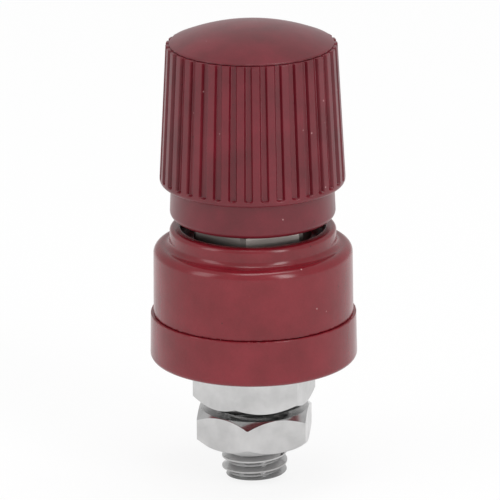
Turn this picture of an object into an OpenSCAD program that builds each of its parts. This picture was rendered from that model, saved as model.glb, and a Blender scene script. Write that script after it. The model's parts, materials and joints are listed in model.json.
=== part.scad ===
// Panel-mounted screw binding post: a fluted clamping knob on a threaded
// stud, a moulded housing with a hexagonal contact collar in its neck, an
// insulating ring for the far side of the panel, and two hexagon nuts.
// +Z runs up the stud towards the knob, and Z = 0 is the tip of the stud.

/* [Thread] */
// Outside diameter of the stud's thread
thread_d = 6; // [5:0.5:7]
// Pitch of the thread
thread_pitch = 1; // [0.5:0.25:1.25]
// Radial play between the stud's thread and what is screwed on it
thread_play = 0.05; // [0.02:0.01:0.08]
// Gap between faces that close on each other
seat_gap = 0.05; // [0.02:0.01:0.1]

/* [Nuts] */
// Width across the flats of the nuts and of the contact collar
hex_flats = 10; // [9:0.5:11]
// Step from the flats in to the round face that the nuts' corner chamfers leave
nut_face_step = 0.05; // [-0.2:0.01:0.4]
// Slope of the nuts' corner chamfers
nut_chamfer_angle = 40; // [25:1:50]
// Depth of the countersink at each end of a nut's hole
nut_countersink = 0.4; // [0.1:0.05:0.6]
// Height of the nut that clamps the insulating ring
clamp_nut_h = 4.1; // [3.5:0.1:5]
// Height of the thin nut that clamps a cable lug
lug_nut_h = 3.2; // [2.5:0.1:4]
// Space left between the two nuts
nut_space = 0.66; // [0.3:0.01:2]
// Turn of the clamping nut's corners about the stud
clamp_nut_turn = 12.2; // [0:0.1:60]
// Turn of the lug nut's corners about the stud
lug_nut_turn = 23.6; // [0:0.1:60]

/* [Stud] */
// Length of stud that stands out below the lug nut
tip_length = 3.75; // [2.5:0.05:8]
// Height of the hexagonal collar
collar_h = 3.9; // [3:0.1:5]
// Height of the collar above the rim of the housing's neck
collar_proud = 0.55; // [0.2:0.05:0.8]
// Height of the bevel round the collar's top edge
collar_bevel_h = 0.4; // [0.1:0.05:0.5]
// Depth of that bevel across the flats
collar_bevel_w = 0.14; // [0.05:0.01:0.3]
// Turn of the collar's corners about the stud
collar_turn = 20.6; // [0:0.1:60]
// Length of stud above the bush when the knob is closed
stud_reach = 2.4; // [1:0.1:4]
// Diameter of the cross hole for a bare wire
wire_hole_d = 2.6; // [1.5:0.1:3]
// Height of the cross hole's lower edge above the collar
wire_hole_rise = 0.5; // [0.2:0.1:2]

/* [Insulating ring] */
// Height of the ring
ring_h = 4.3; // [4:0.1:6]
// Diameter at its bottom edge, the widest of the whole post
body_d = 18.94; // [18.3:0.02:20]
// How much narrower it is at its top edge
ring_taper = 0.18; // [0.02:0.02:0.5]
// Radius of its bottom edge
ring_edge_r = 0.5; // [0.2:0.05:0.9]
// Play between the stud and the holes of the ring and the housing
stud_hole_play = 0.15; // [0.05:0.05:0.3]

/* [Housing] */
// Height of the housing above the panel
housing_h = 8.1; // [7:0.1:11]
// How far the ring's top edge stands out from the foot
seam_step = 0.26; // [0.05:0.01:0.5]
// How much narrower the housing is just below its shoulder
housing_taper = 0.1; // [0.02:0.02:0.5]
// Drop from the rim of the neck to the flat of the shoulder
neck_h = 1.7; // [1.2:0.05:2.4]
// Width of the shoulder round the neck
shoulder_w = 1.49; // [1.2:0.01:2]
// Radius of the neck's outer edge
neck_edge_r = 0.4; // [0.1:0.05:0.5]
// Radius of the hollow where the neck meets the shoulder
neck_root_r = 0.55; // [0.2:0.05:0.8]
// Radius of the shoulder's outer edge
shoulder_edge_r = 0.8; // [0.3:0.05:1.2]
// Wall of the neck round its mouth
neck_wall = 0.98; // [0.6:0.02:1.2]
// Depth of the mouth down to the hexagonal pocket
mouth_depth = 1.3; // [0.8:0.1:2]
// Play across the flats between the collar and its pocket
pocket_play = 0.1; // [0.05:0.05:0.2]
// Diameter of the spigot that passes into the panel's hole
spigot_d = 11.4; // [10:0.1:13]
// Length of the spigot
spigot_h = 2.6; // [1.5:0.1:3]
// Play round and under the spigot in the insulating ring
spigot_play = 0.15; // [0.1:0.05:0.3]

/* [Knob] */
// Diameter of the fluted skirt at its top
skirt_top_d = 15.52; // [15:0.02:16.4]
// Diameter of the fluted skirt at its foot
skirt_foot_d = 16.94; // [16.4:0.02:18]
// Height of the skirt
skirt_h = 12.93; // [10:0.01:16]
// Radius of the skirt's bottom edge
skirt_edge_r = 0.4; // [0.2:0.05:0.45]
// Height of the plain band below the flutes
skirt_band_h = 0.5; // [0.45:0.05:1]
// Number of flutes
flutes = 36; // [24:1:40]
// Width of a flute at its mouth
flute_w = 0.68; // [0.5:0.02:0.8]
// Width of a flute's floor
flute_floor_w = 0.44; // [0.2:0.02:0.48]
// Depth of a flute
flute_depth = 0.34; // [0.2:0.02:0.4]
// Turn of the flutes about the knob's axis
flute_turn = 7.5; // [0:0.1:15]
// Height of the plain boss below the skirt
boss_h = 3.25; // [2.5:0.05:5]
// Overhang of the skirt's foot round the boss
skirt_overhang = 1.05; // [0.7:0.01:1.3]
// How much wider the boss is at its foot
boss_taper = 0.22; // [0.02:0.02:0.5]
// Radius of the boss's bottom edge
boss_edge_r = 0.65; // [0.3:0.05:1]

/* [Bush] */
// Wall of the threaded bush in the knob
bush_wall = 1.6; // [1.2:0.1:2]
// Length of the bush
bush_h = 10; // [7:0.5:11]
// Height of the bush's face below the knob's moulding
bush_proud = 0.3; // [0.1:0.05:0.5]
// Width of the groove that anchors the bush in the moulding
bush_groove_w = 2; // [1:0.5:3]
// Depth of that groove
bush_groove_depth = 0.4; // [0.2:0.1:0.6]
// Step from the thread out to the relief in the bush's mouth
relief_step = 0.8; // [0.4:0.1:0.8]
// Height of that relief above the stud's cross hole
relief_margin = 0.2; // [0.1:0.05:0.3]

/* [Top cap] */
// Width of the knob's rim that shows round the domed cap
rim_w = 0.33; // [0.2:0.01:0.6]
// Radius of the dome's curve
dome_r = 17.9; // [12:0.1:30]
// Height of the cap's upright edge
cap_edge_h = 0.12; // [0.05:0.01:0.3]
// Step from the cap's edge in to the plug below it
plug_step = 1.23; // [0.9:0.01:2]
// Length of the plug
plug_h = 2; // [1:0.1:2.5]
// Play between the plug and its bore in the knob
plug_play = 0.05; // [0.02:0.01:0.08]
// Depth left below the plug in its bore
plug_clearance = 0.4; // [0.2:0.1:1]
// Wall of the plug round its hollow
plug_wall = 1.6; // [1:0.1:3]

/* [Hidden] */
$fn = 96;
// Reach of a cutter beyond the face that it cuts
past = 0.2;
bakelite = [0.42, 0.10, 0.13];
nickel = [0.80, 0.79, 0.77];

// Heights, from the tip of the stud up
lug_nut_z = tip_length;
clamp_nut_z = lug_nut_z + lug_nut_h + nut_space;
ring_z = clamp_nut_z + clamp_nut_h + seat_gap;
ring_top_z = ring_z + ring_h;
panel_z = ring_top_z + seat_gap;
rim_z = panel_z + housing_h;
shoulder_z = rim_z - neck_h;
collar_top_z = rim_z + collar_proud;
collar_z = collar_top_z - collar_h;
bush_z = collar_top_z + seat_gap;
bush_top_z = bush_z + bush_h;
boss_z = bush_z + bush_proud;
skirt_z = boss_z + boss_h;
skirt_top_z = skirt_z + skirt_h;
stud_top_z = bush_top_z + stud_reach;
plug_bore_z = skirt_top_z - plug_h - plug_clearance;

// Diameters, from those that they line up with
ring_top_d = body_d - ring_taper;
foot_d = ring_top_d - 2 * seam_step;
shoulder_d = foot_d - housing_taper;
neck_d = shoulder_d - 2 * shoulder_w;
mouth_d = neck_d - 2 * neck_wall;
boss_top_d = skirt_foot_d - 2 * skirt_overhang;
boss_foot_d = boss_top_d + boss_taper;
cap_d = skirt_top_d - 2 * rim_w;
plug_d = cap_d - 2 * plug_step;
plug_hollow_d = plug_d - 2 * plug_wall;
bush_d = thread_d + 2 * bush_wall;

// Sizes that follow from those above
thread_r = thread_d / 2;
tip_chamfer = 0.75 * thread_pitch;
stud_hole_r = thread_r + stud_hole_play;
skirt_lean = atan((skirt_foot_d - skirt_top_d) / 2 / skirt_h);
// Radius of the dome where it meets the cap's edge, and the height of its centre
dome_drop = sqrt(dome_r * dome_r - cap_d * cap_d / 4);
dome_centre_z = skirt_top_z + seat_gap + cap_edge_h - dome_drop;

// Hexagonal bar of a given width across the flats
module hex_bar(flats, height) {
    cylinder(h = height, r = flats / 2 / cos(30), $fn = 6);
}

// Solid of revolution whose bottom outer edge is rounded
module rounded_foot(top_r, foot_r, height, edge_r) {
    lean = (foot_r - top_r) / height;
    side_r = foot_r - lean * edge_r;
    rotate_extrude() {
        polygon([
            [0, 0], [side_r - edge_r, 0], [side_r - edge_r, edge_r],
            [side_r, edge_r], [top_r, height], [0, height]
        ]);
        intersection() {
            translate([side_r - edge_r, edge_r])
                circle(r = edge_r);
            square([side_r, edge_r]);
        }
    }
}

// Hexagon nut with its corners chamfered at both ends and a countersunk hole
module nut(height) {
    hole_r = thread_r + thread_play;
    corner_r = hex_flats / 2 / cos(30);
    face_r = hex_flats / 2 - nut_face_step;
    chamfer_h = (corner_r - face_r) * tan(nut_chamfer_angle);
    difference() {
        intersection() {
            hex_bar(hex_flats, height);
            rotate_extrude()
                polygon([
                    [0, 0], [face_r, 0], [corner_r, chamfer_h],
                    [corner_r, height - chamfer_h], [face_r, height], [0, height]
                ]);
        }
        translate([0, 0, -past])
            cylinder(h = height + 2 * past, r = hole_r);
        translate([0, 0, -past])
            cylinder(h = nut_countersink + past, r1 = hole_r + nut_countersink + past, r2 = hole_r);
        translate([0, 0, height - nut_countersink])
            cylinder(h = nut_countersink + past, r1 = hole_r, r2 = hole_r + nut_countersink + past);
    }
}

// Outside of the threaded bush, which also shapes its seat in the knob
module bush_outline() {
    groove_z = (bush_h - bush_groove_w) / 2;
    translate([0, 0, bush_z])
        difference() {
            cylinder(h = bush_h, d = bush_d);
            translate([0, 0, groove_z])
                difference() {
                    cylinder(h = bush_groove_w, d = bush_d + 2 * past);
                    translate([0, 0, -past])
                        cylinder(h = bush_groove_w + 2 * past, d = bush_d - 2 * bush_groove_depth);
                }
        }
}

// One flute: a bar of trapezium section that leans with the skirt's side
module flute() {
    run = skirt_h - skirt_band_h;
    band_r = skirt_foot_d / 2 - skirt_band_h * tan(skirt_lean);
    spread = (flute_w - flute_floor_w) / flute_depth * past;
    translate([band_r, 0, skirt_z + skirt_band_h])
        rotate([0, -skirt_lean, 0])
            linear_extrude(height = run / cos(skirt_lean) + past)
                polygon([
                    [-flute_depth, -flute_floor_w / 2], [past, -(flute_w + spread) / 2],
                    [past, (flute_w + spread) / 2], [-flute_depth, flute_floor_w / 2]
                ]);
}

// Domed cap that closes the top of the knob, with a hollow plug below it
module top_cap() {
    color(bakelite)
        difference() {
            union() {
                intersection() {
                    translate([0, 0, dome_centre_z])
                        sphere(r = dome_r, $fn = 192);
                    translate([0, 0, skirt_top_z + seat_gap])
                        cylinder(h = dome_r, d = cap_d);
                }
                translate([0, 0, skirt_top_z + seat_gap - plug_h])
                    cylinder(h = plug_h + cap_edge_h, d = plug_d);
            }
            translate([0, 0, skirt_top_z + seat_gap - plug_h - past])
                cylinder(h = plug_h + past, d = plug_hollow_d);
        }
}

// Moulded knob: fluted skirt, plain boss, seat for the bush and bore for the plug
module knob() {
    color(bakelite)
        difference() {
            union() {
                translate([0, 0, skirt_z])
                    rounded_foot(skirt_top_d / 2, skirt_foot_d / 2, skirt_h, skirt_edge_r);
                translate([0, 0, boss_z])
                    rounded_foot(boss_top_d / 2, boss_foot_d / 2, boss_h, boss_edge_r);
            }
            for (i = [0 : flutes - 1])
                rotate([0, 0, flute_turn + i * 360 / flutes])
                    flute();
            bush_outline();
            translate([0, 0, bush_top_z - past])
                cylinder(h = plug_bore_z - bush_top_z + 2 * past, r = stud_hole_r);
            translate([0, 0, plug_bore_z])
                cylinder(h = skirt_top_z - plug_bore_z + past, r = plug_d / 2 + plug_play);
        }
}

// Threaded metal bush that is moulded into the knob and presses on the collar
module bush() {
    hole_r = thread_r + thread_play;
    relief_top_z = collar_top_z + wire_hole_rise + wire_hole_d + relief_margin;
    color(nickel)
        difference() {
            bush_outline();
            translate([0, 0, bush_z - past])
                cylinder(h = bush_h + 2 * past, r = hole_r);
            translate([0, 0, bush_z - past])
                cylinder(h = relief_top_z - bush_z + past, r = thread_r + relief_step);
            translate([0, 0, relief_top_z - past])
                cylinder(h = nut_countersink + past, r1 = hole_r + nut_countersink + past, r2 = hole_r);
        }
}

// Stud turned from hexagonal bar: thread, contact collar and cross hole
module stud() {
    lower_h = collar_z - tip_chamfer;
    upper_h = stud_top_z - collar_top_z - tip_chamfer;
    bevel_angle = atan(collar_bevel_w / collar_bevel_h);
    color(nickel)
        difference() {
            union() {
                cylinder(h = tip_chamfer, r1 = thread_r - tip_chamfer, r2 = thread_r);
                translate([0, 0, tip_chamfer])
                    cylinder(h = lower_h, r = thread_r);
                translate([0, 0, collar_z])
                    rotate([0, 0, collar_turn])
                        hex_bar(hex_flats, collar_h);
                translate([0, 0, collar_top_z])
                    cylinder(h = upper_h, r = thread_r);
                translate([0, 0, stud_top_z - tip_chamfer])
                    cylinder(h = tip_chamfer, r1 = thread_r, r2 = thread_r - tip_chamfer);
            }
            for (i = [0 : 5])
                rotate([0, 0, collar_turn + 30 + 60 * i])
                    translate([hex_flats / 2, 0, collar_top_z - collar_bevel_h])
                        rotate([0, -bevel_angle, 0])
                            translate([0, -hex_flats / 2, -past])
                                cube([2, hex_flats, collar_h]);
            translate([0, 0, collar_top_z + wire_hole_rise + wire_hole_d / 2])
                rotate([90, 0, collar_turn])
                    cylinder(h = thread_d + 2 * past, d = wire_hole_d, center = true);
        }
}

// Moulded housing: shoulder, neck with its mouth and hexagonal pocket, and spigot
module housing() {
    neck_r = neck_d / 2;
    shoulder_r = shoulder_d / 2;
    color(bakelite)
        difference() {
            union() {
                translate([0, 0, panel_z])
                    rotate_extrude() {
                        polygon([
                            [0, 0], [foot_d / 2, 0],
                            [shoulder_r, shoulder_z - panel_z - shoulder_edge_r],
                            [shoulder_r - shoulder_edge_r, shoulder_z - panel_z - shoulder_edge_r],
                            [shoulder_r - shoulder_edge_r, shoulder_z - panel_z],
                            [neck_r, shoulder_z - panel_z],
                            [neck_r, housing_h - neck_edge_r],
                            [neck_r - neck_edge_r, housing_h - neck_edge_r],
                            [neck_r - neck_edge_r, housing_h], [0, housing_h]
                        ]);
                        translate([neck_r - neck_edge_r, housing_h - neck_edge_r])
                            circle(r = neck_edge_r);
                        translate([shoulder_r - shoulder_edge_r, shoulder_z - panel_z - shoulder_edge_r])
                            circle(r = shoulder_edge_r);
                        difference() {
                            translate([neck_r - past, shoulder_z - panel_z - past])
                                square([neck_root_r + past, neck_root_r + past]);
                            translate([neck_r + neck_root_r, shoulder_z - panel_z + neck_root_r])
                                circle(r = neck_root_r);
                        }
                    }
                translate([0, 0, panel_z - spigot_h])
                    cylinder(h = spigot_h + past, d = spigot_d);
            }
            translate([0, 0, panel_z - spigot_h - past])
                cylinder(h = spigot_h + housing_h, r = stud_hole_r);
            translate([0, 0, collar_z])
                rotate([0, 0, collar_turn])
                    hex_bar(hex_flats + pocket_play, housing_h);
            translate([0, 0, rim_z - mouth_depth])
                cylinder(h = mouth_depth + past, d = mouth_d);
        }
}

// Insulating ring for the back of the panel, with a counterbore for the spigot
module insulating_ring() {
    color(bakelite)
        difference() {
            translate([0, 0, ring_z])
                rounded_foot(ring_top_d / 2, body_d / 2, ring_h, ring_edge_r);
            translate([0, 0, ring_z - past])
                cylinder(h = ring_h + 2 * past, r = stud_hole_r);
            translate([0, 0, panel_z - spigot_h - spigot_play])
                cylinder(h = spigot_h + spigot_play, d = spigot_d + 2 * spigot_play);
        }
}

// Nut that clamps the insulating ring against the panel
module clamp_nut() {
    color(nickel)
        translate([0, 0, clamp_nut_z])
            rotate([0, 0, clamp_nut_turn])
                nut(clamp_nut_h);
}

// Thin nut that clamps a cable lug
module lug_nut() {
    color(nickel)
        translate([0, 0, lug_nut_z])
            rotate([0, 0, lug_nut_turn])
                nut(lug_nut_h);
}

top_cap();
knob();
bush();
stud();
housing();
insulating_ring();
clamp_nut();
lug_nut();
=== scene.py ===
import json
import math
import bpy
import bmesh
from mathutils import Matrix, Vector


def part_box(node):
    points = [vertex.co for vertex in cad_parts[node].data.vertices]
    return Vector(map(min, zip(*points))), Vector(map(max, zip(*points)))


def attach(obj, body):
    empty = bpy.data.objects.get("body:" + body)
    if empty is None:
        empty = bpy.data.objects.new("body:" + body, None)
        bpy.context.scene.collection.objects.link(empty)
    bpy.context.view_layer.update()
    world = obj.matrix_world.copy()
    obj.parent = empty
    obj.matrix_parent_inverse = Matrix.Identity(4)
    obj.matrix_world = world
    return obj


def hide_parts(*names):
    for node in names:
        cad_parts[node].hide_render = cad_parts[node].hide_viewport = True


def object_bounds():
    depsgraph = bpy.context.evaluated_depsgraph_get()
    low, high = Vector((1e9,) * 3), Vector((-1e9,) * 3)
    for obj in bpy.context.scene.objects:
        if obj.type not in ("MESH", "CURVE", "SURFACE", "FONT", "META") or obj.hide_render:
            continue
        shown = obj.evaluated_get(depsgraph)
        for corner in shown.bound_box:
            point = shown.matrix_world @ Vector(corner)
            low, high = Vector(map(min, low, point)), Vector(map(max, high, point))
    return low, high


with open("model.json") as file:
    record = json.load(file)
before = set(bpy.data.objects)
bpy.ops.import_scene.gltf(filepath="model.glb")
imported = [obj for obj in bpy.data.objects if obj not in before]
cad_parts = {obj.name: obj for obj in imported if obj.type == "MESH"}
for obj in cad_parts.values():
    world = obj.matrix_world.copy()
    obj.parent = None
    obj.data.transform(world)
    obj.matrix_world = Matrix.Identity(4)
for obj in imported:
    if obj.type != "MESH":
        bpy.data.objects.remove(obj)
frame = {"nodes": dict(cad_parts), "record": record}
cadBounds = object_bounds()
mm = 0.001

ringLow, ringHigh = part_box("insulating_ring")
housingLow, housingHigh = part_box("housing")
knobLow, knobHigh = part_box("knob")
capLow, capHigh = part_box("top_cap")
bushLow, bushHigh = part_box("bush")
studLow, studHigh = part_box("stud")
clampLow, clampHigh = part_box("clamp_nut")
lugLow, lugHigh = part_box("lug_nut")
# the closed knob's bush stands 0.05 mm over the stud's collar
collarTop = bushLow[2] - 0.05 * mm
collarFoot = collarTop - 3.9 * mm
mounts = {mount["name"]: mount for mount in frame["record"]["mounts"]}


# Hand tools for the pieces below

def startPiece():
    if bpy.context.object and bpy.context.object.mode != "OBJECT":
        bpy.ops.object.mode_set(mode="OBJECT")
    bpy.ops.object.select_all(action="DESELECT")


def editMode(on=True):
    bpy.ops.object.mode_set(mode="EDIT" if on else "OBJECT")


def pick(kind, test):
    # selects the vertices, edges or faces that pass the test, and nothing else
    bpy.ops.mesh.select_mode(type=kind)
    bpy.ops.mesh.select_all(action="DESELECT")
    mesh = bmesh.from_edit_mesh(bpy.context.object.data)
    items = {"VERT": mesh.verts, "EDGE": mesh.edges, "FACE": mesh.faces}[kind]
    for item in items:
        if test(item):
            item.select_set(True)
    mesh.select_flush_mode()
    bmesh.update_edit_mesh(bpy.context.object.data)


def extrudeTo(radius, height, lastRadius, lastHeight):
    bpy.ops.mesh.extrude_edges_move(TRANSFORM_OT_translate={"value": (0, 0, height - lastHeight)})
    if radius > 0 and radius != lastRadius:
        scale = radius / lastRadius
        bpy.ops.transform.resize(value=(scale, scale, 1), center_override=(0, 0, height))


def arc(centreR, centreZ, radius, start, end, steps):
    turns = [math.radians(start + (end - start) * i / steps) for i in range(steps + 1)]
    return [(centreR + radius * math.cos(t), centreZ + radius * math.sin(t)) for t in turns]


def turnedPiece(name, outline, segments=192, closed=True):
    # a ring drawn along an outline of (radius, height); a radius of 0 is a pole
    startPiece()
    firstR, firstZ = outline[0] if outline[0][0] > 0 else outline[1]
    bpy.ops.mesh.primitive_circle_add(vertices=segments, radius=firstR, location=(0, 0, firstZ))
    bpy.ops.object.transform_apply()
    piece = bpy.context.object
    piece.name = piece.data.name = name
    editMode()
    bpy.ops.mesh.select_mode(type="EDGE")
    bpy.ops.mesh.select_all(action="SELECT")
    if outline[0][0] == 0:
        extrudeTo(0, outline[0][1], firstR, firstZ)
        bpy.ops.mesh.merge(type="CENTER")
        pick("EDGE", lambda edge: edge.is_boundary)
        outline = outline[1:]
    lastR, lastZ = firstR, firstZ
    for radius, height in outline[1:] + ([outline[0]] if closed else []):
        extrudeTo(radius, height, lastR, lastZ)
        if radius == 0:
            bpy.ops.mesh.merge(type="CENTER")
            break
        lastR, lastZ = radius, height
    bpy.ops.mesh.select_all(action="SELECT")
    bpy.ops.mesh.remove_doubles(threshold=0.0005 * mm)
    bpy.ops.mesh.normals_make_consistent(inside=False)
    editMode(False)
    return piece


def applyModifier(piece, kind, **settings):
    startPiece()
    piece.select_set(True)
    bpy.context.view_layer.objects.active = piece
    modifier = piece.modifiers.new(kind.title(), kind)
    for key, value in settings.items():
        setattr(modifier, key, value)
    bpy.ops.object.modifier_apply(modifier=modifier.name)


def cutWith(piece, cutter, operation):
    applyModifier(piece, "BOOLEAN", object=cutter, operation=operation, solver="EXACT")
    bpy.data.objects.remove(cutter)


def smoothPiece(piece, degrees=30):
    startPiece()
    piece.select_set(True)
    bpy.context.view_layer.objects.active = piece
    bpy.ops.object.shade_smooth_by_angle(angle=math.radians(degrees))


def finishPiece(piece, body, node, material):
    piece.data.materials.clear()
    piece.data.materials.append(material)
    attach(piece, body)
    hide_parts(node)


def roughenEdge(piece, height, radius, reach, seed):
    # chips and waviness along one edge of a moulding
    startPiece()
    piece.select_set(True)
    bpy.context.view_layer.objects.active = piece
    editMode()
    pick("VERT", lambda vert: abs(vert.co.z - height) < 0.08 * mm and vert.co.xy.length > radius)
    bpy.ops.transform.vertex_random(offset=reach, uniform=0.3, normal=0.0, seed=seed)
    editMode(False)


# Shader tools

class Wire:
    # a shader socket that can stand in a sum
    def __init__(self, finish, socket):
        self.finish = finish
        self.socket = socket

    def maths(self, operation, first, second):
        made = self.finish.node("ShaderNodeMath", {"operation": operation}, {0: first, 1: second})
        return made.wire("Value")

    def __add__(self, other):
        return self.maths("ADD", self, other)

    def __sub__(self, other):
        return self.maths("SUBTRACT", self, other)

    def __mul__(self, other):
        return self.maths("MULTIPLY", self, other)

    def __gt__(self, other):
        return self.maths("GREATER_THAN", self, other)

    __radd__ = __add__
    __rmul__ = __mul__


class Made:
    # a node that has been made, and its outputs as wires
    def __init__(self, finish, node):
        self.finish = finish
        self.node = node

    def wire(self, name):
        return Wire(self.finish, self.node.outputs[name])


class Finish:
    # a material or a world with its nodes
    def __init__(self, owner):
        self.owner = owner
        owner.use_nodes = True
        self.tree = owner.node_tree
        self.tree.nodes.clear()

    def node(self, kind, settings=None, inputs=None):
        node = self.tree.nodes.new(kind)
        for key, value in (settings or {}).items():
            setattr(node, key, value)
        for key, value in (inputs or {}).items():
            if isinstance(value, Wire):
                self.tree.links.new(value.socket, node.inputs[key])
            else:
                node.inputs[key].default_value = value
        return Made(self, node)

    def place(self):
        return self.node("ShaderNodeTexCoord").wire("Object")

    def noise(self, place, scale, detail=2, roughness=0.5):
        made = self.node("ShaderNodeTexNoise", None, {
            "Vector": place, "Scale": scale, "Detail": detail, "Roughness": roughness})
        return made.wire("Fac")

    def step(self, value, low, high):
        made = self.node("ShaderNodeMapRange", {"clamp": True}, {
            "Value": value, "From Min": low, "From Max": high})
        return made.wire("Result")

    def blend(self, factor, first, second):
        made = self.node("ShaderNodeMix", {"data_type": "RGBA"}, {
            "Factor": factor, 6: first, 7: second})
        return Wire(self, made.node.outputs[2])

    def output(self, shader, kind="ShaderNodeOutputMaterial"):
        self.node(kind, None, {"Surface": shader})
        return self.owner


# Finishes

bakeliteValues = {
    "deep": (0.140, 0.0050, 0.0100, 1), "light": (0.205, 0.0110, 0.0200, 1),
    "speck": (0.42, 0.22, 0.22, 1), "pit": (0.05, 0.004, 0.006, 1),
    "cloudSize": 3.2 * mm, "grainSize": 0.16 * mm, "speckSize": 1.1 * mm,
    "roughness": 0.32, "roughnessSpread": 0.10, "grainHeight": 0.004 * mm,
}


def bakeliteFinish(name, values):
    finish = Finish(bpy.data.materials.new(name))
    place = finish.place()
    cloud = finish.noise(place, 1 / values["cloudSize"], 3)
    grain = finish.noise(place, 1 / values["grainSize"], 2)
    cells = finish.node("ShaderNodeTexVoronoi", None, {
        "Vector": place, "Scale": 1 / values["speckSize"]})
    tone = finish.step(cloud * 0.75 + grain * 0.25, 0.32, 0.68)
    colour = finish.blend(tone, values["deep"], values["light"])
    rare = finish.noise(place, 0.45 / values["speckSize"], 1)
    spot = finish.step(cells.wire("Distance"), 0.085, 0.05)
    colour = finish.blend(spot * (rare > 0.60), colour, values["speck"])
    colour = finish.blend(spot * (finish.step(rare, 0.42, 0.40)), colour, values["pit"])
    wear = finish.noise(place, 3.0 / values["cloudSize"], 4, 0.7)
    roughness = wear * values["roughnessSpread"] + (values["roughness"] - values["roughnessSpread"] / 2)
    bump = finish.node("ShaderNodeBump", None, {
        "Strength": 0.5, "Distance": values["grainHeight"], "Height": grain + wear * 1.5})
    shader = finish.node("ShaderNodeBsdfPrincipled", None, {
        "Base Color": colour, "Roughness": roughness, "IOR": 1.5,
        "Normal": bump.wire("Normal")})
    return finish.output(shader.wire("BSDF"))


nickelValues = {
    "bright": (0.62, 0.618, 0.616, 1), "dull": (0.50, 0.498, 0.496, 1),
    "patchSize": 2.2 * mm, "scratchSize": 0.12 * mm,
    "roughness": 0.20, "roughnessSpread": 0.16, "scratchHeight": 0.0015 * mm,
}


def nickelFinish(name, values):
    finish = Finish(bpy.data.materials.new(name))
    place = finish.place()
    patch = finish.noise(place, 1 / values["patchSize"], 4, 0.6)
    fine = finish.noise(place, 1 / values["scratchSize"], 3)
    colour = finish.blend(finish.step(patch, 0.35, 0.72), values["bright"], values["dull"])
    roughness = patch * values["roughnessSpread"] + (values["roughness"] - values["roughnessSpread"] / 2)
    if "grime" in values:
        # painted shade: the thread roots are darkened in colour as painted shade, and the collar band in
        # the gap gets a dark colour as painted shadow of the knob, with a real rougher satin finish
        apart = finish.node("ShaderNodeSeparateXYZ", None, {0: place})
        across, deep, height = apart.wire("X"), apart.wire("Y"), apart.wire("Z")
        root = finish.step(across * across + deep * deep, 2.95 ** 2 * 1e-6, 2.5 ** 2 * 1e-6)
        colour = finish.blend(root, colour, values["grime"])
        # painted shadow: the collar band under the knob is painted dark; the added roughness is its real
        # satin finish
        collar = (height > values["collarFrom"]) - (height > values["collarTo"])
        colour = finish.blend(collar, colour, values["satin"])
        roughness = roughness + collar * 0.18
    bump = finish.node("ShaderNodeBump", None, {
        "Strength": 0.5, "Distance": values["scratchHeight"], "Height": fine + patch * 2})
    shader = finish.node("ShaderNodeBsdfPrincipled", None, {
        "Base Color": colour, "Metallic": 1.0, "Roughness": roughness,
        "Normal": bump.wire("Normal")})
    return finish.output(shader.wire("BSDF"))


knobBakelite = bakeliteFinish("knobBakelite", {
    **bakeliteValues, "deep": (0.098, 0.0042, 0.0095, 1), "light": (0.165, 0.0085, 0.0185, 1)})
bodyBakelite = bakeliteFinish("bodyBakelite", {
    **bakeliteValues, "roughness": 0.20, "roughnessSpread": 0.06})
nickel = nickelFinish("nickel", nickelValues)
# the stud finish paints shade into the thread roots and paints the knob's shadow on the collar band
studFinishAndShadeValues = {"roughness": 0.18, "grime": (0.44, 0.44, 0.44, 1), "satin": (0.20, 0.178, 0.166, 1),
                    "collarFrom": collarFoot, "collarTo": collarTop + 0.01 * mm}
satinNickel = nickelFinish("satinNickel", {**nickelValues, **studFinishAndShadeValues})
print("Finishes made")


# Top cap: shallow dome, upright edge and hollow plug

capValues = {
    "radius": capHigh[0], "seat": knobHigh[2] + 0.05 * mm, "edgeHeight": 0.12 * mm, "edgeRound": 0.06 * mm,
    "domeRadius": 17.9 * mm, "plugRadius": 6.2 * mm, "plugHollow": 4.6 * mm, "domeSteps": 28,
}


def makeCap(values):
    radius = values["radius"]
    edgeTop = values["seat"] + values["edgeHeight"]
    domeCentre = capHigh[2] - values["domeRadius"]
    edgeAngle = math.degrees(math.asin(radius / values["domeRadius"]))
    dome = arc(0, domeCentre, values["domeRadius"], 90, 90 - edgeAngle, values["domeSteps"])
    rounding = values["edgeRound"]
    outline = [(0, capHigh[2])] + dome[1:-1]
    outline += arc(radius - rounding, edgeTop - rounding * 0.4, rounding, 65, 0, 4)
    outline += [(radius, values["seat"]), (values["plugRadius"], values["seat"]),
                (values["plugRadius"], capLow[2]), (values["plugHollow"], capLow[2]),
                (values["plugHollow"], values["seat"]), (0, values["seat"])]
    cap = turnedPiece("topCap", outline, 192, False)
    smoothPiece(cap, 35)
    finishPiece(cap, "cap", "top_cap", knobBakelite)


makeCap(capValues)
print("Top cap made")


# Knob: one flute is shaped on a tenth-turn strip and the strip is spun round

knobValues = {
    "flutes": 36, "strips": 8, "fluteTurn": 7.5, "fluteWidth": 0.69 * mm,
    "fluteFootWidth": 0.81 * mm, "fluteFloor": 0.44 * mm,
    "fluteDepth": 0.33 * mm, "cornerRise": 0.14 * mm, "bandHeight": 0.5 * mm, "edgeRound": 0.4 * mm,
    "skirtTopRadius": 7.76 * mm, "skirtHeight": 12.93 * mm, "bossTopRadius": 7.42 * mm,
    "bossFootRadius": 7.53 * mm, "bossRound": 0.65 * mm, "rootRound": 0.12 * mm,
    "boreRadius": 6.25 * mm, "boreDepth": 2.4 * mm, "holeRadius": 3.15 * mm, "edgeBevel": 0.045 * mm,
}


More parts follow.
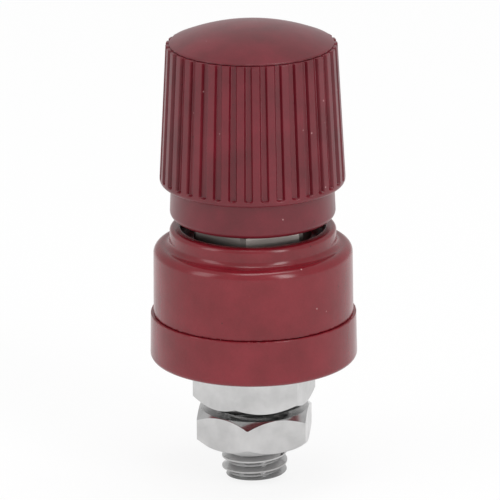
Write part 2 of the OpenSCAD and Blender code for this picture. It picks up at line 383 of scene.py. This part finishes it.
def makeKnob(values):
    skirtTop = knobHigh[2]
    skirtFoot = skirtTop - values["skirtHeight"]
    footRadius = knobHigh[0]
    topRadius = values["skirtTopRadius"]
    lean = (footRadius - topRadius) / values["skirtHeight"]
    fluteEnd = skirtFoot + values["bandHeight"]
    fluteEndRadius = footRadius - values["bandHeight"] * lean
    edge = values["edgeRound"]
    boss = values["bossRound"]
    root = values["rootRound"]
    bossFoot = knobLow[2]
    bushTop = bushHigh[2]
    bore = skirtTop - values["boreDepth"]
    grooveLow = bushLow[2] + (bushHigh[2] - bushLow[2] - 2 * mm) / 2
    outline = [(topRadius, skirtTop), (fluteEndRadius, fluteEnd)]
    outline += [(footRadius - lean * edge, skirtFoot + edge)]
    outline += arc(footRadius - lean * edge - edge, skirtFoot + edge, edge, 0, -90, 8)[1:]
    outline += arc(values["bossTopRadius"] + root, skirtFoot - root, root, 90, 180, 4)
    outline += arc(values["bossFootRadius"] - boss, bossFoot + boss, boss, 0, -90, 10)
    outline += [(bushHigh[0], bossFoot), (bushHigh[0], grooveLow), (bushHigh[0] - 0.4 * mm, grooveLow),
                (bushHigh[0] - 0.4 * mm, grooveLow + 2 * mm), (bushHigh[0], grooveLow + 2 * mm),
                (bushHigh[0], bushTop), (values["holeRadius"], bushTop), (values["holeRadius"], bore),
                (values["boreRadius"], bore), (values["boreRadius"], skirtTop)]
    # the strip: one flute's share of the rim, drawn down the outline
    startPiece()
    count = values["flutes"] * values["strips"]
    half = math.pi / values["flutes"]
    bpy.ops.mesh.primitive_circle_add(vertices=count, radius=topRadius, location=(0, 0, skirtTop))
    bpy.ops.object.transform_apply()
    knob = bpy.context.object
    knob.name = knob.data.name = "knobMoulding"
    editMode()
    slack = half / 50

    def turnOf(point):
        return abs(math.atan2(point[1], point[0]))
    pick("VERT", lambda vert: turnOf(vert.co) > half + slack)
    bpy.ops.mesh.delete(type="VERT")
    bpy.ops.mesh.select_mode(type="EDGE")
    bpy.ops.mesh.select_all(action="SELECT")
    lastR, lastZ = outline[0]
    for radius, height in outline[1:]:
        extrudeTo(radius, height, lastR, lastZ)
        lastR, lastZ = radius, height
    bpy.ops.mesh.select_all(action="SELECT")
    bpy.ops.mesh.flip_normals()
    # the flute's mouth widens a little down the flare, and its lower corners are rounded
    topTurn = math.pi / values["flutes"] / 2
    for height, radius, mouth in ((skirtTop, topRadius, values["fluteWidth"]),
                                  (fluteEnd, fluteEndRadius, values["fluteFootWidth"])):
        pick("VERT", lambda vert: abs(vert.co.z - height) < 1e-6 and turnOf(vert.co) < topTurn + slack
             and vert.co.x > topRadius * 0.98)
        wide = mouth / (2 * radius * math.sin(topTurn))
        bpy.ops.transform.resize(value=(1, wide, 1), center_override=(radius, 0, height))
    pick("FACE", lambda face: fluteEnd < face.calc_center_median().z < skirtTop
         and abs(face.calc_center_median().y) < values["fluteWidth"] / 2
         and face.calc_center_median().x > topRadius * 0.98)
    inset = (values["fluteWidth"] - values["fluteFloor"]) / 2
    bpy.ops.mesh.inset(thickness=inset, depth=-values["fluteDepth"], use_boundary=False,
                       use_even_offset=True, use_relative_offset=False)
    pick("VERT", lambda vert: fluteEnd - 1e-6 < vert.co.z < fluteEnd + 0.3 * mm
         and abs(abs(vert.co.y) - values["fluteFootWidth"] / 2) < 0.03 * mm
         and vert.co.x > fluteEndRadius * 0.97)
    bpy.ops.transform.translate(value=(0, 0, values["cornerRise"]))
    # the strip is spun into the whole knob and the top is closed
    bpy.ops.mesh.select_all(action="SELECT")
    bpy.ops.mesh.spin(steps=values["flutes"], dupli=True, angle=2 * math.pi,
                      center=(0, 0, 0), axis=(0, 0, 1))
    bpy.ops.mesh.select_all(action="SELECT")
    bpy.ops.mesh.remove_doubles(threshold=0.002 * mm)
    pick("EDGE", lambda item: item.is_boundary)
    bpy.ops.mesh.bridge_edge_loops()
    bpy.ops.mesh.select_all(action="SELECT")
    bpy.ops.mesh.normals_make_consistent(inside=False)
    bpy.ops.mesh.select_all(action="DESELECT")
    bpy.ops.mesh.edges_select_sharp(sharpness=math.radians(28))
    mesh = bmesh.from_edit_mesh(knob.data)
    for item in mesh.edges:
        middle = (item.verts[0].co + item.verts[1].co) / 2
        if item.select and (middle.z < fluteEnd - 0.1 * mm or middle.xy.length < topRadius * 0.9):
            item.select_set(False)
    bmesh.update_edit_mesh(knob.data)
    bpy.ops.mesh.bevel(offset=values["edgeBevel"], segments=2, affect="EDGES", clamp_overlap=True)
    bpy.ops.mesh.select_all(action="SELECT")
    turn = math.radians(values["fluteTurn"])
    editMode(False)
    knob.rotation_euler = (0, 0, turn)
    startPiece()
    knob.select_set(True)
    bpy.context.view_layer.objects.active = knob
    bpy.ops.object.transform_apply(location=True, rotation=True, scale=True)
    smoothPiece(knob, 40)
    applyModifier(knob, "WEIGHTED_NORMAL", keep_sharp=True)
    finishPiece(knob, "knob", "knob", knobBakelite)


makeKnob(knobValues)
print("Knob made")


# Housing: shoulder, neck with its mouth and pocket, and spigot

housingValues = {
    "footRadius": 9.12 * mm, "shoulderRadius": 9.07 * mm, "neckRadius": 7.58 * mm, "neckHeight": 1.7 * mm,
    "neckRound": 0.4 * mm, "rootRound": 0.55 * mm, "shoulderRound": 0.8 * mm, "mouthRadius": 6.6 * mm,
    "mouthDepth": 1.3 * mm, "holeRadius": 3.15 * mm, "spigotRadius": 5.7 * mm, "pocketFlats": 10.1 * mm,
    "pocketTurn": 20.6, "pocketFloor": collarFoot, "footRound": 0.05 * mm, "mouthRound": 0.12 * mm,
}


def makeHousing(values):
    foot = mounts["panel_seat"]["pos_m"][2]
    rim = housingHigh[2]
    shoulder = rim - values["neckHeight"]
    small = values["footRound"]
    outline = [(values["spigotRadius"], housingLow[2]), (values["spigotRadius"], foot),
               (values["footRadius"] - 6 * small, foot)]
    outline += arc(values["footRadius"] - small, foot + small, small, -90, 0, 3)
    outline += [(values["footRadius"], foot + 4 * small)]
    round1 = values["shoulderRound"]
    outline += arc(values["shoulderRadius"] - round1, shoulder - round1, round1, 0, 90, 14)
    root = values["rootRound"]
    outline += arc(values["neckRadius"] + root, shoulder + root, root, 270, 180, 10)
    round2 = values["neckRound"]
    outline += arc(values["neckRadius"] - round2, rim - round2, round2, 0, 90, 8)
    inner = values["mouthRound"]
    outline += arc(values["mouthRadius"] + inner, rim - inner, inner, 90, 180, 4)
    outline += [(values["mouthRadius"], rim - values["mouthDepth"]),
                (values["holeRadius"], rim - values["mouthDepth"]), (values["holeRadius"], housingLow[2])]
    housing = turnedPiece("housingShell", outline, 256)
    startPiece()
    corner = values["pocketFlats"] / 2 / math.cos(math.radians(30))
    bpy.ops.mesh.primitive_cylinder_add(vertices=6, radius=corner, depth=10 * mm,
                                        location=(0, 0, values["pocketFloor"] + 5 * mm),
                                        rotation=(0, 0, math.radians(values["pocketTurn"] - 90)))
    cutWith(housing, bpy.context.object, "DIFFERENCE")
    roughenEdge(housing, foot, values["footRadius"] - 2 * small, 0.014 * mm, 9)
    smoothPiece(housing, 30)
    finishPiece(housing, "post", "housing", bodyBakelite)


makeHousing(housingValues)
print("Housing made")


# Insulating ring

ringValues = {
    "topRadius": 9.38 * mm, "edgeRound": 0.5 * mm, "holeRadius": 3.15 * mm, "seatRadius": 5.85 * mm,
    "seatDepth": 2.7 * mm, "topRound": 0.06 * mm,
}


def makeRing(values):
    low, high = ringLow[2], ringHigh[2]
    edge = values["edgeRound"]
    small = values["topRound"]
    lean = (ringHigh[0] - values["topRadius"]) / (high - low)
    side = ringHigh[0] - lean * edge
    outline = [(values["holeRadius"], low)]
    outline += arc(side - edge, low + edge, edge, -90, 0, 10)
    outline += [(values["topRadius"] + 4 * small * lean, high - 4 * small)]
    outline += arc(values["topRadius"] - small, high - small, small, 0, 90, 3)
    outline += [(values["topRadius"] - 6 * small, high)]
    outline += [(values["seatRadius"], high), (values["seatRadius"], high - values["seatDepth"]),
                (values["holeRadius"], high - values["seatDepth"])]
    ring = turnedPiece("insulatingRing", outline, 256)
    roughenEdge(ring, high, values["topRadius"] - 2 * small, 0.014 * mm, 5)
    smoothPiece(ring, 30)
    finishPiece(ring, "ring", "insulating_ring", bodyBakelite)


makeRing(ringValues)
print("Insulating ring made")


# Stud: rolled thread, hexagonal collar and cross hole

studValues = {
    "pitch": 1.0 * mm, "crestRadius": 3.0 * mm, "rootRadius": 2.39 * mm, "crestFlat": 0.14 * mm,
    "rootFlat": 0.22 * mm, "steps": 72, "tipChamfer": 0.75 * mm,
    "collarFlats": 10.0 * mm, "collarLow": collarFoot, "collarHigh": collarTop, "collarTurn": 20.6,
    "bevelHeight": 0.4 * mm, "bevelWidth": 0.14 * mm, "cornerBevel": 0.3175 * mm,
    "holeRadius": 1.3 * mm, "holeRise": 0.5 * mm,
}


def threadRod(name, low, high, values, lowChamfer, highChamfer):
    # one tooth's outline is drawn point by point, screwed up the rod, and cut to length
    pitch = values["pitch"]
    turns = int((high - low) / pitch) + 3
    flank = (pitch - values["crestFlat"] - values["rootFlat"]) / 2
    root, crest = values["rootRadius"], values["crestRadius"]
    soft = values["crestFlat"] / 2
    points = [(root, 0), (root, values["rootFlat"] * 0.6), (root + soft * 0.5, values["rootFlat"]),
              (crest - soft * 0.6, values["rootFlat"] + flank * 0.94), (crest, values["rootFlat"] + flank),
              (crest, values["rootFlat"] + flank + values["crestFlat"]),
              (crest - soft * 0.6, values["rootFlat"] + flank * 1.06 + values["crestFlat"]),
              (root + soft * 0.5, pitch - 0.02 * mm), (root, pitch)]
    startPiece()
    bottom = low - pitch
    bpy.ops.mesh.primitive_circle_add(vertices=3, radius=pitch, location=(points[0][0], 0, bottom))
    bpy.ops.object.transform_apply()
    rod = bpy.context.object
    rod.name = rod.data.name = name
    editMode()
    bpy.ops.mesh.select_mode(type="VERT")
    bpy.ops.mesh.select_all(action="SELECT")
    bpy.ops.mesh.merge(type="CENTER")
    for (r0, z0), (r1, z1) in zip(points, points[1:]):
        bpy.ops.mesh.extrude_vertices_move(TRANSFORM_OT_translate={"value": (r1 - r0, 0, z1 - z0)})
    editMode(False)
    applyModifier(rod, "SCREW", axis="Z", angle=2 * math.pi, screw_offset=pitch, iterations=turns,
                  steps=values["steps"], render_steps=values["steps"], use_merge_vertices=True,
                  merge_threshold=0.001 * mm)
    editMode()
    bpy.ops.mesh.select_all(action="SELECT")
    bpy.ops.mesh.remove_doubles(threshold=0.001 * mm)
    bpy.ops.mesh.select_all(action="SELECT")
    bpy.ops.mesh.bisect(plane_co=(0, 0, low), plane_no=(0, 0, -1), use_fill=True, clear_outer=True)
    bpy.ops.mesh.select_all(action="SELECT")
    bpy.ops.mesh.bisect(plane_co=(0, 0, high), plane_no=(0, 0, 1), use_fill=True, clear_outer=True)
    bpy.ops.mesh.select_all(action="SELECT")
    bpy.ops.mesh.normals_make_consistent(inside=False)
    editMode(False)
    chamfer = values["tipChamfer"]
    over = 0.4 * mm
    if lowChamfer:
        outline = [(0, low), (crest - chamfer, low), (crest + over, low + chamfer + over)]
    else:
        outline = [(0, low - over), (crest + over, low - over)]
    if highChamfer:
        outline += [(crest + over, high - chamfer - over), (crest - chamfer, high), (0, high)]
    else:
        outline += [(crest + over, high + over), (0, high + over)]
    blank = turnedPiece("blank", outline, 96, False)
    cutWith(rod, blank, "INTERSECT")
    return rod


def makeStud(values):
    low, high = studLow[2], studHigh[2]
    collarLow, collarHigh = values["collarLow"], values["collarHigh"]
    inside = 0.5 * mm
    stud = threadRod("contactStud", low, collarLow + inside, values, True, False)
    upper = threadRod("upperThread", collarHigh - inside, high, values, False, True)
    startPiece()
    corner = values["collarFlats"] / 2 / math.cos(math.radians(30))
    body = collarHigh - collarLow - values["bevelHeight"]
    bpy.ops.mesh.primitive_cylinder_add(vertices=6, radius=corner, depth=body,
                                        location=(0, 0, collarLow + body / 2),
                                        rotation=(0, 0, math.radians(values["collarTurn"] - 90)))
    bpy.ops.object.transform_apply()
    collar = bpy.context.object
    editMode()
    pick("FACE", lambda face: face.normal.z > 0.9)
    scale = 1 - values["bevelWidth"] / (values["collarFlats"] / 2)
    bpy.ops.mesh.extrude_region_move(TRANSFORM_OT_translate={"value": (0, 0, values["bevelHeight"])})
    bpy.ops.transform.resize(value=(scale, scale, 1), center_override=(0, 0, collarHigh))
    pick("EDGE", lambda item: abs(item.verts[0].co.z - item.verts[1].co.z) > 0.1 * mm)
    bpy.ops.mesh.bevel(offset=values["cornerBevel"], segments=1)
    editMode(False)
    cutWith(stud, collar, "UNION")
    cutWith(stud, upper, "UNION")
    startPiece()
    radius = values["holeRadius"]
    bpy.ops.mesh.primitive_cylinder_add(vertices=48, radius=radius, depth=8 * mm,
                                        location=(0, 0, collarHigh + values["holeRise"] + radius),
                                        rotation=(math.pi / 2, 0, math.radians(values["collarTurn"])))
    cutWith(stud, bpy.context.object, "DIFFERENCE")
    smoothPiece(stud, 28)
    finishPiece(stud, "post", "stud", satinNickel)


makeStud(studValues)
print("Stud made")


# Nuts

nutValues = {
    "flats": 10.0 * mm, "faceRadius": 4.95 * mm, "chamferAngle": 40, "edgeBevel": 0.1 * mm,
    "holeRadius": 3.05 * mm, "countersink": 0.4 * mm,
    "nuts": (("clampNut", "clamp_nut", 12.2, clampLow[2], clampHigh[2]),
             ("lugNut", "lug_nut", 23.6, lugLow[2], lugHigh[2])),
}


def makeNut(name, node, turn, low, high, values):
    startPiece()
    corner = values["flats"] / 2 / math.cos(math.radians(30))
    bpy.ops.mesh.primitive_cylinder_add(vertices=6, radius=corner, depth=high - low,
                                        location=(0, 0, (low + high) / 2),
                                        rotation=(0, 0, math.radians(turn - 90)))
    bpy.ops.object.transform_apply()
    nut = bpy.context.object
    nut.name = nut.data.name = name
    editMode()
    pick("EDGE", lambda item: abs(item.verts[0].co.z - item.verts[1].co.z) > 0.1 * mm)
    bpy.ops.mesh.bevel(offset=values["edgeBevel"], segments=4)
    editMode(False)
    face, hole, sink = values["faceRadius"], values["holeRadius"], values["countersink"]
    rise = (corner - face) * math.tan(math.radians(values["chamferAngle"]))
    outline = [(hole, low + sink), (hole + sink, low), (face, low), (corner * 1.001, low + rise),
               (corner * 1.001, high - rise), (face, high), (hole + sink, high), (hole, high - sink)]
    blank = turnedPiece("nutBlank", outline, 144)
    cutWith(nut, blank, "INTERSECT")
    smoothPiece(nut, 24)
    finishPiece(nut, "nuts", node, nickel)


for nutRow in nutValues["nuts"]:
    makeNut(*nutRow, nutValues)
print("Nuts made")

for slotted in frame["nodes"]["bush"].material_slots:
    slotted.material = nickel


# Floor, lights and camera

studioValues = {
    "floorSize": 3.0, "floorColour": (0.92, 0.92, 0.92, 1),
    "worldLight": 0.66, "worldWhite": 1.0,
    "lights": (("rightSoftbox", (0.34, -0.42, 0.30), 0.16, 0.50, 1.3),
               ("leftSoftbox", (-0.50, -0.26, 0.28), 0.24, 0.50, 0.8),
               ("topSoftbox", (0.05, -0.06, 0.55), 0.40, 0.16, 0.75)),
}


def makeStudio(values):
    startPiece()
    bpy.ops.mesh.primitive_plane_add(size=values["floorSize"], location=(0, 0, cadBounds[0][2]))
    floor = bpy.context.object
    floor.name = "studioFloor"
    paper = Finish(bpy.data.materials.new("paper"))
    path = paper.node("ShaderNodeLightPath")
    seen = path.wire("Is Camera Ray") + path.wire("Is Glossy Ray") * 0.25
    diffuse = paper.node("ShaderNodeBsdfDiffuse", None, {"Color": values["floorColour"]})
    glow = paper.node("ShaderNodeEmission", None, {"Color": (1, 1, 1, 1), "Strength": 1.0})
    mixed = paper.node("ShaderNodeMixShader", None, {
        0: seen * 0.86, 1: diffuse.wire("BSDF"), 2: glow.wire("Emission")})
    floor.data.materials.append(paper.output(mixed.wire("Shader")))
    world = bpy.data.worlds.new("studio")
    bpy.context.scene.world = world
    sky = Finish(world)
    path = sky.node("ShaderNodeLightPath")
    seen = sky.step(path.wire("Is Camera Ray") + path.wire("Is Transmission Ray"), 0, 1)
    strength = seen * (values["worldWhite"] - values["worldLight"]) + values["worldLight"]
    back = sky.node("ShaderNodeBackground", None, {"Color": (1, 1, 1, 1), "Strength": strength})
    sky.output(back.wire("Background"), "ShaderNodeOutputWorld")
    for name, place, width, height, power in values["lights"]:
        bpy.ops.object.light_add(type="AREA", location=place)
        lamp = bpy.context.object
        lamp.name = name
        lamp.data.shape = "RECTANGLE"
        lamp.data.size, lamp.data.size_y = width, height
        lamp.data.energy = power
        aim = Vector((0, 0, 0.022)) - Vector(place)
        lamp.rotation_euler = aim.to_track_quat("-Z", "Y").to_euler()


cameraValues = {
    "lens": 432, "sensor": 36, "distance": 0.546, "elevation": 17.7, "aimHeight": 0.02182,
    "aimAside": -0.00028, "roll": -0.45,
}


def makeCamera(values):
    rise = math.radians(values["elevation"])
    aim = Vector((values["aimAside"], 0, values["aimHeight"]))
    away = Vector((0, -math.cos(rise), math.sin(rise))) * values["distance"]
    bpy.ops.object.camera_add(location=aim + away)
    camera = bpy.context.object
    turn = (-away).to_track_quat("-Z", "Y").to_matrix().to_4x4()
    roll = Matrix.Rotation(math.radians(values["roll"]), 4, "Z")
    camera.rotation_euler = (turn @ roll).to_euler()
    camera.data.lens = values["lens"]
    camera.data.sensor_width = values["sensor"]
    bpy.context.scene.camera = camera


makeStudio(studioValues)
makeCamera(cameraValues)
bpy.context.scene.view_settings.view_transform = "Standard"
print("Studio made")
